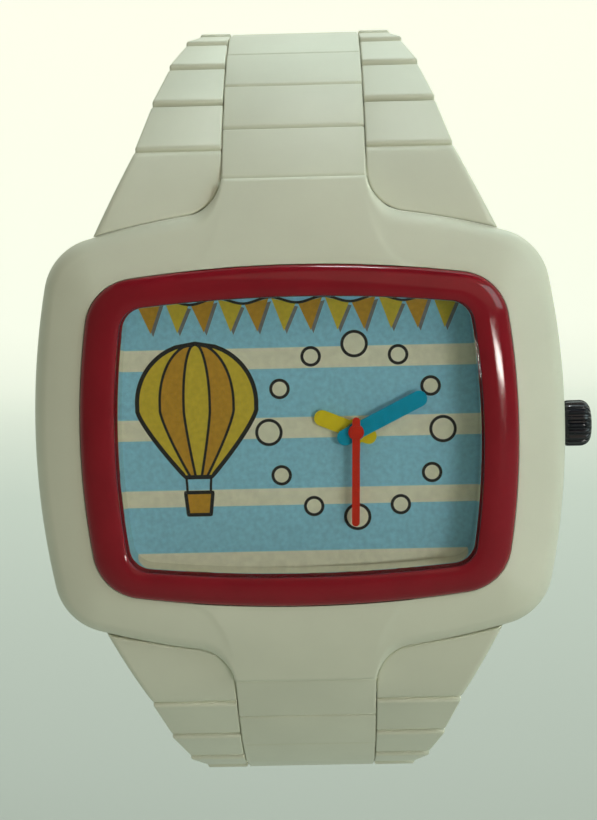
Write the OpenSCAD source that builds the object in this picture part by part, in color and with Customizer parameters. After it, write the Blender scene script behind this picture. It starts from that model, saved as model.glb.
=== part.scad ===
// Wristwatch with a pillow-shaped case, a bezel frame and a bracelet of T-shaped links.
// Drawn with x to 3 o'clock, y to 12 o'clock and z out of the dial, then stood upright.

/* [Case] */
// Width of the case beside the bezel
border_side = 4.1; // [3.6:0.1:6]
// Width of the case above and below the bezel
border_end = 4.7; // [4.2:0.1:6]
// Plan radius of the four bulged edges
case_bulge_r = 65; // [50:1:100]
// Plan radius of the four corners
case_corner_r = 5; // [4.5:0.1:7]
// Height of the face beside the bezel, above the case back
face_z = 9.5; // [9.2:0.1:10]
// Fall of the face from the bezel to the edge
face_fall = 1.6; // [0.8:0.1:2]
// Rounding of the front edge
edge_r = 1.2; // [0.6:0.1:1.8]
// Rounding of the back edge
under_r = 1.6; // [0.8:0.1:2]
// Height of the rim above the outer face of the case back
rim_z = 0.5; // [0.3:0.1:0.8]

/* [Lugs] */
// Width of the centre lug at each end of the case
lug_w = 12; // [10:0.1:13]
// Plan fillet between a lug and the edge of the case
lug_fillet_r = 3.5; // [2:0.1:4]
// Reach of the lug pins past the edge of the case
lug_reach = 0.34; // [0.2:0.02:1]
// Height of the lug pins above the case back
lug_pin_z = 5.5; // [5:0.1:6]

/* [Bezel and crystal] */
// Width of the window
window_w = 30; // [27:0.1:34]
// Height of the window
window_h = 23; // [20:0.1:26]
// Width of the bezel beside the window
bezel_side_t = 3; // [2.4:0.1:4]
// Width of the bezel above and below the window
bezel_end_t = 2.6; // [2.2:0.1:3.4]
// Plan radius of the left and right edges of the bezel
bezel_side_r = 63; // [45:1:90]
// Plan radius of the upper and lower edges of the bezel
bezel_end_r = 104; // [70:1:150]
// Plan radius of the corners of the bezel
bezel_corner_r = 4.2; // [3.5:0.1:5]
// Highest level of the bezel
bezel_top_z = 10.5; // [10.2:0.1:11]
// Plan radius of the corners of the window
window_corner_r = 1.9; // [1:0.1:3]
// Thickness of the crystal at its edge
crystal_t = 1.2; // [0.8:0.1:1.4]
// Height of the dome of the crystal
crystal_dome = 0.2; // [0.1:0.05:0.25]

/* [Dial and hands] */
// Thickness of the dial
dial_t = 0.4; // [0.3:0.05:0.5]
// Level of the front of the dial
dial_z = 5.9; // [5.8:0.05:6]
// Distance of the hands from the middle of the dial, to 3 o'clock
hand_x = 4.7; // [3.5:0.1:6]
// Reach of the hour hand
hour_len = 3.7; // [3:0.1:5]
// Reach of the minute hand
minute_len = 6.6; // [5:0.1:7.5]
// Reach of the second hand
second_len = 7.9; // [6:0.1:8.5]
// Width of the hour and minute hands
hand_w = 1.35; // [1.1:0.05:1.6]
// Width of the second hand
second_w = 0.65; // [0.4:0.05:0.9]
// Thickness of a hand
hand_t = 0.16; // [0.1:0.02:0.2]
// Level of the underside of the hour hand
hour_z = 6.2; // [6.1:0.05:6.3]
// Step from one hand up to the next
hand_step = 0.5; // [0.4:0.05:0.6]

/* [Movement and case back] */
// Length of the movement towards 3 o'clock
plate_w = 17.6; // [16:0.1:19]
// Height of the movement
plate_h = 15.4; // [14:0.1:18]
// Diameter of the battery
battery_d = 6.8; // [5.8:0.1:7]
// Thickness of the battery
battery_t = 2.1; // [1.6:0.05:2.2]
// Thickness of the case back
back_t = 1.1; // [0.9:0.05:1.2]
// Diameter of the heads of the case back screws
screw_head_d = 2; // [1.6:0.1:2.2]

/* [Crown] */
// Diameter of the crown
crown_d = 3.9; // [3.2:0.1:4.6]
// Length of the crown
crown_l = 3; // [2.4:0.1:3.6]
// Radius of the outer edge of the crown
crown_edge_r = 0.9; // [0.4:0.1:1.2]
// Number of grooves round the crown
crown_grooves = 20; // [14:1:26]
// Height of the stem above the case back
stem_z = 3.9; // [3.6:0.1:4.2]
// Diameter of the stem
stem_d = 1.2; // [0.9:0.1:1.4]

/* [Bracelet] */
// Distance from pin to pin along a link
link_pitch = 6; // [5.6:0.1:6.6]
// Thickness of a link outside its pins
link_out = 1.7; // [1.4:0.05:2]
// Thickness of a link inside its pins, and the round of its ends
link_in = 1.25; // [1.1:0.05:1.4]
// Diameter of the link pins
pin_d = 1.2; // [0.8:0.1:1.4]
// Step in from the side of the case to the side of the bracelet
root_step = 5.4; // [5:0.1:7]
// Narrowing of the end link on each side
shoulder = 3.3; // [2.6:0.1:4]
// Narrowing of the bracelet from link to link
taper = 2.3; // [1.5:0.1:2.8]
// Width of the bracelet at the clasp
clasp_w = 18; // [17:0.1:20]
// Slope of the end links below the dial
first_slope = 43.6; // [40:0.2:47]
// Bend from the end link to the next link
first_bend = 6; // [5:0.2:8]
// Growth of the bend from link to link
bend_growth = 2.2; // [1.8:0.05:2.3]
// Rounding of the outer edges of a link
link_edge_r = 0.35; // [0.1:0.05:0.5]

/* [Clasp] */
// Radius of the curve of the clasp
clasp_r = 60; // [50:1:80]
// Thickness of the clasp blades
blade_t = 0.7; // [0.5:0.05:0.8]
// Width of the clasp blades
blade_w = 10.8; // [8:0.1:11]
// Thickness of the clasp cover
cover_t = 0.9; // [0.6:0.05:1]

/* [Clearances] */
// Gap round pieces that are fixed together
fit_gap = 0.05; // [0.02:0.01:0.08]
// Radial gap between a pin or shaft and the bore it turns in
run_gap = 0.06; // [0.03:0.01:0.09]
// Gap between the ends of the links
seam_gap = 0.12; // [0.08:0.02:0.2]
// Gap between a tongue and the arms beside it
side_gap = 0.15; // [0.1:0.01:0.2]

/* [Hidden] */
$fn = 48;
// Overlap that keeps cuts and unions clean
eps = 0.01;
// Links on each side of the case, counting the end link
links = 9;
// The two ends of the bracelet, at 12 and at 6 o'clock
ends = [1, -1];

// Sizes built up from the window outwards
bezel_w = window_w + 2*bezel_side_t;
bezel_h = window_h + 2*bezel_end_t;
case_w = bezel_w + 2*border_side;
case_h = bezel_h + 2*border_end;
lug_pin_y = case_h/2 + lug_reach;
root_w = case_w - 2*root_step;
seam_w = root_w - 2*shoulder;
// Reach of a cut that passes right through
through = case_h;
// Screws stand just outside the bezel's outline, and the case back reaches past their heads
screw_off = 0.25;
back_edge = 0.5;

// Plans as [half width, half height, side radius, end radius, corner radius]
case_plan = [case_w/2, case_h/2, case_bulge_r, case_bulge_r, case_corner_r];
bezel_plan = [bezel_w/2, bezel_h/2, bezel_side_r, bezel_end_r, bezel_corner_r];
window_plan = [window_w/2, window_h/2, bezel_side_r, bezel_end_r*1.2, window_corner_r];
back_plan = inset(bezel_plan, -screw_off - screw_head_d/2 - back_edge);

// The bezel is measured inwards as a share of its width, 0 at its edge and 1 at the window
rebate_f = 0.9;
skirt_f = 0.62;
cavity_f = 0.58;
seat_z = 7.4;
ledge_z = bezel_top_z - 0.25 - crystal_t;
bezel_bottom_z = dial_z + fit_gap;

// Movement levels
plate_z = back_t + 0.3;
plate_top_z = dial_z - dial_t - 0.65;
wheel_room_z = plate_top_z - 0.85;
plate_x = hand_x - 0.6;
battery_at = [hand_x - 4.7, -3.3];
coil_at = [hand_x - 0.8, 5.6, plate_z + 1.25];
coil_r = 1.1;
coil_l = 8;
stem_in_x = plate_x + plate_w/2 - 3;
screw_at = [bezel_w*0.292, bezel_h/2 + screw_off];
screw_d = screw_head_d/2;
screw_l = 3.4;

// Radii of the seconds arbor, the minute pipe and the hour pipe
arbor_r = 0.15;
minute_pipe_r = 0.45;
hour_pipe_r = 0.8;
pipe_wall = 0.24;
minute_z = hour_z + hand_step;
second_z = minute_z + hand_step;
second_hub_r = 0.65;
arbor_top_z = second_z + hand_t*0.7;
// Directions of the hands, counted from 3 o'clock towards 12
hour_at = 157.7;
minute_at = 26.5;
second_at = 268.6;

// Crown
crown_x = case_w/2 - 0.5;
crown_neck_l = 0.5;
seal_x = crown_x - 1.6;
seal_r = 0.95;

// Links: the middle part starts past the neighbour's tongue, the arms end before its arms
mid_from = link_in + seam_gap;
arm_to = link_pitch - link_in - seam_gap;
pin_r = pin_d/2;
lug_pin = [lug_pin_y, lug_pin_z];
fork_w = lug_w + 2*side_gap;
pin_l = clasp_w - 1.6;

// Clasp: a curve between the last pins of both sides
clasp_pin = pin_at(links);
clasp_turn = asin(clasp_pin[0]/clasp_r);
clasp_z = clasp_pin[1] + sqrt(clasp_r*clasp_r - clasp_pin[0]*clasp_pin[0]);
hinge_r = 0.95;
hinge_pin_r = 0.45;
hinge_gap = 0.26;
base_hi = clasp_r - 0.7;
base_lo = base_hi - blade_t;
middle_lo = clasp_r + 0.1;
middle_hi = middle_lo + blade_t;
cover_lo = clasp_r + 1.4;
cover_hi = cover_lo + cover_t;
wall_w = 0.9;
// Lengths along the clasp: ears, catch block behind them, and the gap between cover and ears
ear_l = link_in + 0.75;
catch_l = 3.6;
cover_gap = 0.4;
ear_r = 1;
ear_t = 1.6;
low_hinge = [turn_of(8) - clasp_turn, clasp_r - 0.25];
high_hinge = [clasp_turn - turn_of(8.4), clasp_r + 0.3];

// Turn along the clasp's curve that covers a length
function turn_of(l) = l*180/(PI*clasp_r);

// Slope of a link below the dial, the end link being number 0
function link_slope(i) = first_slope + i*first_bend + bend_growth*i*(i - 1)/2;
// Unit steps along a slope and out of it, as [y, z]
function along(a) = [cos(a), -sin(a)];
function outward(a) = [sin(a), cos(a)];
// Pin at the start of a link
function pin_at(i) = i == 0 ? lug_pin : pin_at(i - 1) + link_pitch*along(link_slope(i - 1));
// Point of a link's own side view, as [y, z] of the watch
function on_link(i, s, t) = pin_at(i) + s*along(link_slope(i)) + t*outward(link_slope(i));
// Width of the bracelet at the seam before a link
function strap_w(i) = max(clasp_w, seam_w - taper*(i - 1));
// Point on the clasp from [turn, radius], as [y, z]
function on_clasp(p) = [p[1]*sin(p[0]), clasp_z - p[1]*cos(p[0])];

// Plan moved inwards by a distance
function inset(q, d) = [for (v = q) v - d];
// Centre of the corner that is tangent to the side and to the end
function corner_at(q) =
    let (a = [q[0] - q[2], 0], b = [0, q[1] - q[3]])
    let (ra = q[2] - q[4], rb = q[3] - q[4], d = norm(b - a), u = (b - a)/d)
    let (m = (ra*ra - rb*rb + d*d)/(2*d))
    a + m*u + sqrt(ra*ra - m*m)*[-u[1], u[0]];
// Points of an arc without its last one
function arc(c, r, from, to, n) =
    [for (i = [0:n - 1]) c + r*[cos(from + (to - from)*i/n), sin(from + (to - from)*i/n)]];
// Outline of a plan, anticlockwise from the 3 o'clock side
function quarter(q) =
    let (c = corner_at(q), a = atan2(c[1], c[0] - q[0] + q[2]), b = atan2(c[1] - q[1] + q[3], c[0]))
    concat(
        arc([q[0] - q[2], 0], q[2], 0, a, 3),
        arc(c, q[4], a, b, 6),
        arc([0, q[1] - q[3]], q[3], b, 90, 3),
        [[0, q[1]]]
    );
function upper_half(k) = concat(k, [for (i = [len(k) - 2:-1:0]) [-k[i][0], k[i][1]]]);
function both_halves(h) = concat(h, [for (i = [len(h) - 2:-1:1]) [h[i][0], -h[i][1]]]);
function outline(q) = both_halves(upper_half(quarter(q)));
// Outline between the edge of the bezel and the window
function bezel_line(f) =
    let (a = outline(bezel_plan), b = outline(window_plan))
    [for (i = [0:len(a) - 1]) a[i]*(1 - f) + b[i]*f];
function at_z(points, z) = [for (p = points) [p[0], p[1], z]];
// Bowed line between two points
function bow(p, q, rise, n) =
    let (u = (q - p)/norm(q - p))
    [for (i = [0:n]) p + (q - p)*i/n + 4*rise*(i/n)*(1 - i/n)*[-u[1], u[0]]];

// Case section as [inset, z], from the back to the bezel
face_turn = atan2(case_corner_r - edge_r, 2*face_fall);
face_from = edge_r*(1 - cos(face_turn));
face_run = case_corner_r - 0.4 - face_from;
case_section = concat(
    [for (a = [0:30:90]) [under_r*(1 - sin(a)), rim_z + under_r*(1 - cos(a))]],
    [for (k = [0:3]) [
        edge_r*(1 - cos(face_turn*k/3)),
        face_z - face_fall - edge_r*(sin(face_turn) - sin(face_turn*k/3))
    ]],
    [for (k = [1:4]) [face_from + face_run*k/4, face_z - face_fall*pow(1 - k/4, 1.5)]]
);
// Bezel section as [share inwards, z]
bezel_section = concat(
    [[0, seat_z]],
    [for (a = [0:15:90]) [0.4*(1 - cos(a)), bezel_top_z - 1 + sin(a)]],
    [[0.7, bezel_top_z - 0.04], [rebate_f, bezel_top_z - 0.15], [rebate_f, ledge_z]],
    [[1, ledge_z], [1, bezel_bottom_z], [skirt_f, bezel_bottom_z], [skirt_f, seat_z]]
);

// Centre of the plan fillet between a lug and the edge of the case
fillet_x = lug_w/2 + lug_fillet_r;
fillet_y = case_plan[1] - case_bulge_r + sqrt(pow(case_bulge_r + lug_fillet_r, 2) - fillet_x*fillet_x);
// Side view of a lug: bowed top, square outer end, inner end round the pin
lug_tip = on_link(0, link_in, link_out);
lug_section = concat(
    bow(lug_tip, [bezel_h/2 - 1, face_z + 0.25], -0.7, 8),
    [[bezel_h/2 - 1, rim_z + under_r], [case_plan[1] - 3, rim_z + under_r]],
    [for (a = [90:-15:0]) on_link(0, link_in*cos(a), -link_in*sin(a))]
);
// Side view of the arms of an end link, bowed towards the case
end_rear = [case_plan[1] - 3.2, face_z - face_fall - 0.5];
end_section = concat(
    bow(on_link(0, arm_to, link_out), end_rear, -0.6, 8),
    [end_rear - [0, 2.2], on_link(0, 0, -link_in), on_link(0, arm_to, -link_in)]
);

side_names = ["upper", "lower"];

// Stands the watch up, 12 o'clock on top and the dial to the front
module stand() {
    rotate([90, 0, 0]) children();
}

// Turns what is drawn for the 12 o'clock end to either end
module at_end(e) {
    mirror([0, e < 0 ? 1 : 0, 0]) children();
}

// Extrudes a side view, drawn as [y, z], evenly to both sides
module across(w) {
    rotate([90, 0, 90]) linear_extrude(w, center = true) children();
}

// Cylinder along x
module rod(r, l, x = 0, y = 0, z = 0) {
    translate([x, y, z]) rotate([0, 90, 0]) cylinder(r = r, h = l, center = true);
}

// Column of a plan that passes through the whole watch
module column() {
    translate([0, 0, -through/2]) linear_extrude(through) children();
}

// Slab of an outline between two levels
module slab(points, from, to) {
    translate([0, 0, from]) linear_extrude(to - from) polygon(points);
}

// Solid through rings of equal length; a closed one runs round from the last ring to the first
module loft(rings, closed = false) {
    n = len(rings[0]);
    m = len(rings);
    steps = closed ? m : m - 1;
    caps = closed ? [] : [[for (i = [0:n - 1]) i], [for (i = [n - 1:-1:0]) (m - 1)*n + i]];
    sides = [for (j = [0:steps - 1], i = [0:n - 1])
        let (a = j*n, b = ((j + 1) % m)*n, k = (i + 1) % n)
        each [[a + i, b + i, b + k], [a + i, b + k, a + k]]];
    polyhedron(points = [for (r = rings) each r], faces = concat(caps, sides));
}

// Plan of a lug with its fillets, grown by a gap
module lug_plan(grow) {
    low = case_plan[1] - 6;
    translate([-lug_w/2 - grow, low]) square([lug_w + 2*grow, 14]);
    difference() {
        translate([-fillet_x, low]) square([2*fillet_x, fillet_y - low]);
        for (s = [-1, 1]) translate([s*fillet_x, fillet_y]) circle(lug_fillet_r - grow);
    }
}

module lug() {
    intersection() {
        across(2*fillet_x) polygon(lug_section);
        linear_extrude(face_z + 2) lug_plan(0);
    }
}

module case_body() {
    color("WhiteSmoke") stand() difference() {
        union() {
            loft([for (v = case_section) at_z(outline(inset(case_plan, v[0])), v[1])]);
            for (e = ends) at_end(e) lug();
        }
        slab(outline(inset(bezel_plan, -fit_gap)), seat_z, bezel_top_z);
        slab(bezel_line(cavity_f), -1, bezel_top_z);
        slab(outline(inset(back_plan, -fit_gap)), -1, back_t);
        difference() {
            slab(bezel_line(0.28), back_t - eps, back_t + 0.5);
            slab(bezel_line(0.48), back_t - 1, back_t + 1);
        }
        screw_places() translate([0, 0, back_t - eps]) cylinder(d = screw_d, h = screw_l);
        rod(stem_d/2 + run_gap, case_w/2, case_w/2, 0, stem_z);
        rod(seal_r + run_gap, 4, seal_x + 2 - 0.5, 0, stem_z);
        rod(crown_d/2 + 0.15, 4, crown_x - 0.2 + 2, 0, stem_z);
        for (e = ends) rod(pin_r + eps, 2*fillet_x + 2, 0, e*lug_pin_y, lug_pin_z);
    }
}

module bezel_ring() {
    color("Crimson") stand()
        loft([for (v = bezel_section) at_z(bezel_line(v[0]), v[1])], closed = true);
}

module crystal() {
    edge = bezel_line(rebate_f + 0.02);
    top = ledge_z + crystal_t;
    color("Azure", 0.35) stand() loft(concat(
        [at_z(edge, ledge_z)],
        [for (k = [1, 0.97, 0.75, 0.5, 0.25]) at_z(edge*k, top + crystal_dome*(1 - k*k))]
    ));
}

module dial() {
    color("SteelBlue") stand() difference() {
        slab(bezel_line(skirt_f), dial_z - dial_t, dial_z);
        translate([hand_x, 0, 0]) cylinder(r = hour_pipe_r + run_gap, h = through);
    }
}

module screw_places() {
    for (x = [-1, 1], y = [-1, 1]) translate([x*screw_at[0], y*screw_at[1], 0]) children();
}

module case_back() {
    color("Silver") stand() difference() {
        slab(outline(back_plan), 0, back_t);
        screw_places() {
            translate([0, 0, -1]) cylinder(d = screw_head_d + 2*fit_gap, h = 1.6);
            translate([0, 0, -1]) cylinder(d = screw_d + 2*fit_gap, h = 4);
        }
    }
}

module case_back_gasket() {
    color("DimGray") stand() difference() {
        slab(bezel_line(0.3), back_t, back_t + 0.45);
        slab(bezel_line(0.46), back_t - 1, back_t + 1);
    }
}

module case_back_screws() {
    color("Silver") stand() screw_places() difference() {
        union() {
            translate([0, 0, 0.1]) cylinder(d = screw_head_d, h = 0.5);
            translate([0, 0, 0.1]) cylinder(d = screw_d - 2*fit_gap, h = back_t + screw_l - 0.4);
        }
        translate([-0.17, -2, -0.1]) cube([0.34, 4, 0.4]);
    }
}

module movement_holder() {
    color("Ivory") stand() difference() {
        slab(bezel_line(skirt_f), back_t + 0.15, dial_z - dial_t);
        translate([plate_x - plate_w/2 - fit_gap, -plate_h/2 - fit_gap, 0])
            cube([plate_w + 2*fit_gap, plate_h + 2*fit_gap, through]);
        rod(stem_d/2 + run_gap, case_w/2, case_w/2, 0, stem_z);
    }
}

module main_plate() {
    color("Gainsboro") stand() difference() {
        translate([plate_x - plate_w/2, -plate_h/2, plate_z])
            cube([plate_w, plate_h, plate_top_z - plate_z]);
        translate([hand_x, 0, wheel_room_z]) cylinder(r = 3.2, h = 5);
        translate([hand_x, 0, 0]) cylinder(r = arbor_r + run_gap, h = through);
        translate([battery_at[0], battery_at[1], plate_z - 1])
            cylinder(d = battery_d + 2*fit_gap, h = battery_t + 1 + fit_gap);
        translate([coil_at[0] - coil_l/2 - 0.1, coil_at[1] - coil_r - 0.1, plate_z - 1])
            cube([coil_l + 0.2, 2*coil_r + 0.2, coil_r + 2.4]);
        translate([hand_x + 0.4, -plate_h/2 + 0.5, plate_z - 1]) cube([7, 5.4, 1.5]);
        rod(stem_d/2 + run_gap, case_w/2, stem_in_x - 0.1 + case_w/4, 0, stem_z);
    }
}

module circuit_board() {
    color("SeaGreen") stand() {
        translate([hand_x + 0.5, -plate_h/2 + 0.6, plate_z + 0.1]) cube([6.8, 5.2, 0.4 - eps]);
        translate([hand_x + 3, -plate_h/2 + 2, plate_z - 0.15]) cube([2, 2, 0.4]);
    }
}

module motor_coil() {
    color("Chocolate") stand() {
        rod(coil_r, coil_l - 1, coil_at[0], coil_at[1], coil_at[2]);
        for (s = [-1, 1]) rod(coil_r*0.85, 0.8, coil_at[0] + s*(coil_l/2 - 0.4), coil_at[1], coil_at[2]);
    }
}

module battery() {
    color("LightSteelBlue") stand() translate([battery_at[0], battery_at[1], plate_z]) {
        cylinder(d = battery_d, h = battery_t - 0.3);
        cylinder(d = battery_d - 1.2, h = battery_t);
    }
}

// Hand with round ends, turned to its direction about the axis of the hands
module hand(at, z, len, tail, w, hub, bore) {
    translate([hand_x, 0, z]) rotate([0, 0, at]) difference() {
        linear_extrude(hand_t) {
            translate([w/2 - tail, -w/2]) square([len + tail - w, w]);
            translate([len - w/2, 0]) circle(d = w);
            translate([w/2 - tail, 0]) circle(d = w);
            circle(r = hub);
        }
        translate([0, 0, -1]) cylinder(r = bore, h = 3);
    }
}

// Pipe of a hand with a toothed wheel at its foot
module wheel(pipe_r, bore_r, top_z, foot_z, wheel_r, teeth) {
    translate([hand_x, 0, 0]) difference() {
        union() {
            translate([0, 0, foot_z]) cylinder(r = pipe_r, h = top_z - foot_z);
            translate([0, 0, foot_z]) linear_extrude(0.28) polygon([for (k = [0:2*teeth - 1])
                (wheel_r - (k % 2)*0.25)*[cos(180*k/teeth), sin(180*k/teeth)]]);
        }
        cylinder(r = bore_r, h = through);
    }
}

module hour_hand() {
    color("Gold") stand()
        hand(hour_at, hour_z, hour_len, 1.8, hand_w, hour_pipe_r + 0.25, hour_pipe_r + eps);
}

module hour_wheel() {
    bore = hour_pipe_r - pipe_wall;
    color("Goldenrod") stand()
        wheel(hour_pipe_r, bore, hour_z + hand_t, wheel_room_z + 0.5, 2.7, 24);
}

module minute_hand() {
    color("DarkCyan") stand()
        hand(minute_at, minute_z, minute_len, 1.7, hand_w, minute_pipe_r + 0.3, minute_pipe_r + eps);
}

module minute_wheel() {
    bore = minute_pipe_r - pipe_wall;
    color("Goldenrod") stand()
        wheel(minute_pipe_r, bore, minute_z + hand_t, wheel_room_z + 0.1, 2.2, 20);
}

module second_hand() {
    color("Red") stand() {
        hand(second_at, second_z, second_len, 1.25, second_w, second_hub_r, arbor_r + eps);
        translate([hand_x, 0, arbor_top_z + eps]) cylinder(r = second_hub_r - 0.1, h = hand_t);
    }
}

module second_arbor() {
    color("Silver") stand() translate([hand_x, 0, plate_z + 1])
        cylinder(r = arbor_r, h = arbor_top_z - plate_z - 1);
}

module stem() {
    stem_out_x = crown_x + 1.2;
    color("Silver") stand() rod(stem_d/2, stem_out_x - stem_in_x, (stem_out_x + stem_in_x)/2, 0, stem_z);
}

module crown_seal() {
    section_r = (seal_r - stem_d/2)/2 - eps;
    color("DimGray") stand() translate([seal_x, 0, stem_z]) rotate([0, 90, 0])
        rotate_extrude() translate([stem_d/2 + section_r + eps, 0]) circle(r = section_r, $fn = 24);
}

module crown() {
    color("DarkSlateGray") stand() translate([crown_x, 0, stem_z]) rotate([0, 90, 0]) difference() {
        rotate_extrude() polygon(concat(
            [[0, 0], [crown_d/2 - 0.6, 0], [crown_d/2 - 0.6, crown_neck_l]],
            [[crown_d/2, crown_neck_l + 0.4]],
            [for (a = [0:15:90]) [crown_d/2, crown_l] + crown_edge_r*[cos(a) - 1, sin(a) - 1]],
            [[0, crown_l]]
        ));
        translate([0, 0, -1]) cylinder(r = stem_d/2 + run_gap, h = 2.25);
        for (k = [1:crown_grooves]) rotate([0, 0, k*360/crown_grooves])
            translate([crown_d/2 + 0.05, 0, crown_neck_l + 0.1]) cylinder(r = 0.2, h = crown_l, $fn = 16);
    }
}

// Puts a link drawn along y, out along z, at its place in the bracelet
module place(i) {
    p = pin_at(i);
    translate([0, p[0], p[1]]) rotate([-link_slope(i), 0, 0]) children();
}

// Outer half of a side view, with rounded outer edges
module outer_half(from, to) {
    r = link_edge_r;
    translate([from, 0]) square([to - from, link_out - r]);
    translate([from + r, 0]) square([to - from - 2*r, link_out]);
    for (s = [from + r, to - r]) translate([s, link_out - r]) circle(r);
}

// Side view of a link's arms, hinged at their start
module arm_section() {
    outer_half(-link_in, arm_to);
    translate([0, -link_in]) square([arm_to, link_in + eps]);
    circle(link_in);
}

// Side view of a link's middle, whose tongue is hinged at its end
module mid_section() {
    outer_half(mid_from, link_pitch + link_in);
    translate([mid_from, -link_in]) square([link_pitch - mid_from, link_in + eps]);
    translate([link_pitch, 0]) circle(link_in);
}

// Plan of the arms, with the fork for the neighbour's tongue
module arm_plan(from_w, to_w) {
    difference() {
        polygon([
            [-from_w/2, -link_in], [from_w/2, -link_in],
            [to_w/2, arm_to], [-to_w/2, arm_to]
        ]);
        translate([-fork_w/2, -link_in - 1]) square([fork_w, link_in + 1 + mid_from]);
    }
}

// Lines pressed into a link beside its middle
module side_lines() {
    for (s = [-1, 1]) translate([s*(lug_w + side_gap)/2, (mid_from + arm_to)/2, link_out])
        cube([side_gap, arm_to - mid_from + 1, 0.8], center = true);
}

// A link: two arms forking round the neighbour's tongue, and a middle with its own tongue
module link(i) {
    difference() {
        union() {
            intersection() {
                across(strap_w(i) + 2) arm_section();
                linear_extrude(4*link_out, center = true) arm_plan(strap_w(i), strap_w(i + 1));
            }
            across(lug_w) mid_section();
        }
        side_lines();
        rod(pin_r + run_gap, strap_w(i) + 2);
        rod(pin_r + eps, lug_w + 2, 0, link_pitch);
    }
}

module bracelet_link(e, i) {
    color("WhiteSmoke") stand() at_end(e) place(i) link(i);
}

// Pin in the tongue of a link; the last one at 6 o'clock is a spring bar pressed into its tongue
module bracelet_pin(e, i) {
    spring_bar = e < 0 && i == links - 1;
    color("Silver") stand() at_end(e) place(i)
        rod(pin_r, spring_bar ? lug_w - 0.2 : strap_w(i + 1) - 1.6, 0, link_pitch);
}

module end_link_pins() {
    color("Silver") stand() for (e = ends) at_end(e) {
        place(0) rod(pin_r, pin_l);
        place(0) rod(pin_r, strap_w(1) - 1.6, 0, link_pitch);
    }
}

// End link: its arms meet the edge of the case and flank the lug
module end_link() {
    seam_y = on_link(0, arm_to, link_out)[0];
    difference() {
        union() {
            difference() {
                intersection() {
                    across(root_w + 4) polygon(end_section);
                    column() polygon([
                        [-root_w/2, end_rear[0]], [root_w/2, end_rear[0]],
                        [seam_w/2, seam_y], [-seam_w/2, seam_y]
                    ]);
                }
                column() polygon(outline(inset(case_plan, -seam_gap)));
                intersection() {
                    column() lug_plan(seam_gap);
                    place(0) translate([-root_w/2, mid_from - through, -through/2])
                        cube([root_w, through, through]);
                }
            }
            place(0) across(lug_w) mid_section();
        }
        place(0) {
            side_lines();
            rod(pin_r + eps, pin_l + 0.4);
            rod(pin_r + eps, lug_w + 2, 0, link_pitch);
        }
    }
}

module upper_end_link() {
    color("WhiteSmoke") stand() end_link();
}

module lower_end_link() {
    color("WhiteSmoke") stand() at_end(-1) end_link();
}

// Curved bar of the clasp between two radii and two turns, centred at x
module clasp_bar(lo, hi, w, from, to, x = 0) {
    translate([x, 0, clasp_z]) rotate([0, 90, 0]) rotate([0, 0, from])
        rotate_extrude(angle = to - from) translate([lo, -w/2]) square([hi - lo, w]);
}

// Rod along x at a place on the clasp, given as [turn, radius]
module clasp_rod(at, r, l, x = 0) {
    p = on_clasp(at);
    rod(r, l, x, p[0], p[1]);
}

// Ears that flank the tongue of a link at one end of the clasp
module ears(turn, to) {
    w = (clasp_w - fork_w)/2;
    for (s = [-1, 1]) {
        clasp_rod([turn, clasp_r], ear_r, w, s*(fork_w + w)/2);
        clasp_bar(clasp_r - ear_t/2, clasp_r + ear_t/2, w, min(turn, to), max(turn, to), s*(fork_w + w)/2);
    }
}

module clasp_base() {
    block_from = clasp_turn - turn_of(ear_l + catch_l);
    block_to = clasp_turn - turn_of(ear_l);
    color("Silver") stand() difference() {
        union() {
            clasp_bar(base_lo, base_hi, blade_w, low_hinge[0], (block_from + block_to)/2);
            clasp_bar(base_lo - 0.1, cover_hi - 0.2, clasp_w, block_from, block_to);
            ears(clasp_turn, block_to - turn_of(0.5));
            clasp_rod(low_hinge, hinge_r, blade_w/2 - side_gap);
        }
        for (s = [-1, 1]) clasp_rod(low_hinge, hinge_r + hinge_gap, blade_w/4 + 1, s*(blade_w*3/8 + 0.5));
        clasp_rod(low_hinge, hinge_pin_r + run_gap, through);
        clasp_rod([clasp_turn, clasp_r], pin_r + run_gap, through);
    }
}

module clasp_middle() {
    color("Silver") stand() difference() {
        union() {
            clasp_bar(middle_lo, middle_hi, blade_w, low_hinge[0], high_hinge[0]);
            for (s = [-1, 1])
                clasp_rod(low_hinge, hinge_r, blade_w/4 - side_gap, s*(blade_w*3/8 + side_gap/2));
            clasp_rod(high_hinge, hinge_r - 0.1, blade_w);
        }
        clasp_rod(low_hinge, hinge_r + hinge_gap, blade_w/2 + side_gap);
        clasp_rod(low_hinge, hinge_pin_r + eps, through);
        clasp_rod(high_hinge, hinge_pin_r + eps, through);
    }
}

module clasp_cover() {
    plate_from = turn_of(ear_l + cover_gap) - clasp_turn;
    color("Silver") stand() difference() {
        union() {
            clasp_bar(cover_lo, cover_hi, clasp_w, plate_from, high_hinge[0]);
            for (s = [-1, 1]) {
                clasp_bar(clasp_r - 0.7, cover_lo + eps, wall_w, plate_from, high_hinge[0],
                    s*(clasp_w - wall_w)/2);
                clasp_rod(high_hinge, 1.05, wall_w, s*(clasp_w - wall_w)/2);
            }
            ears(-clasp_turn, plate_from + turn_of(0.8));
        }
        clasp_rod(high_hinge, hinge_pin_r + run_gap, through);
        clasp_rod([-clasp_turn, clasp_r], pin_r + run_gap, through);
    }
}

module clasp_hinge_pins() {
    color("Silver") stand() {
        clasp_rod(low_hinge, hinge_pin_r, blade_w);
        clasp_rod(high_hinge, hinge_pin_r, clasp_w - 0.4);
    }
}

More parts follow.
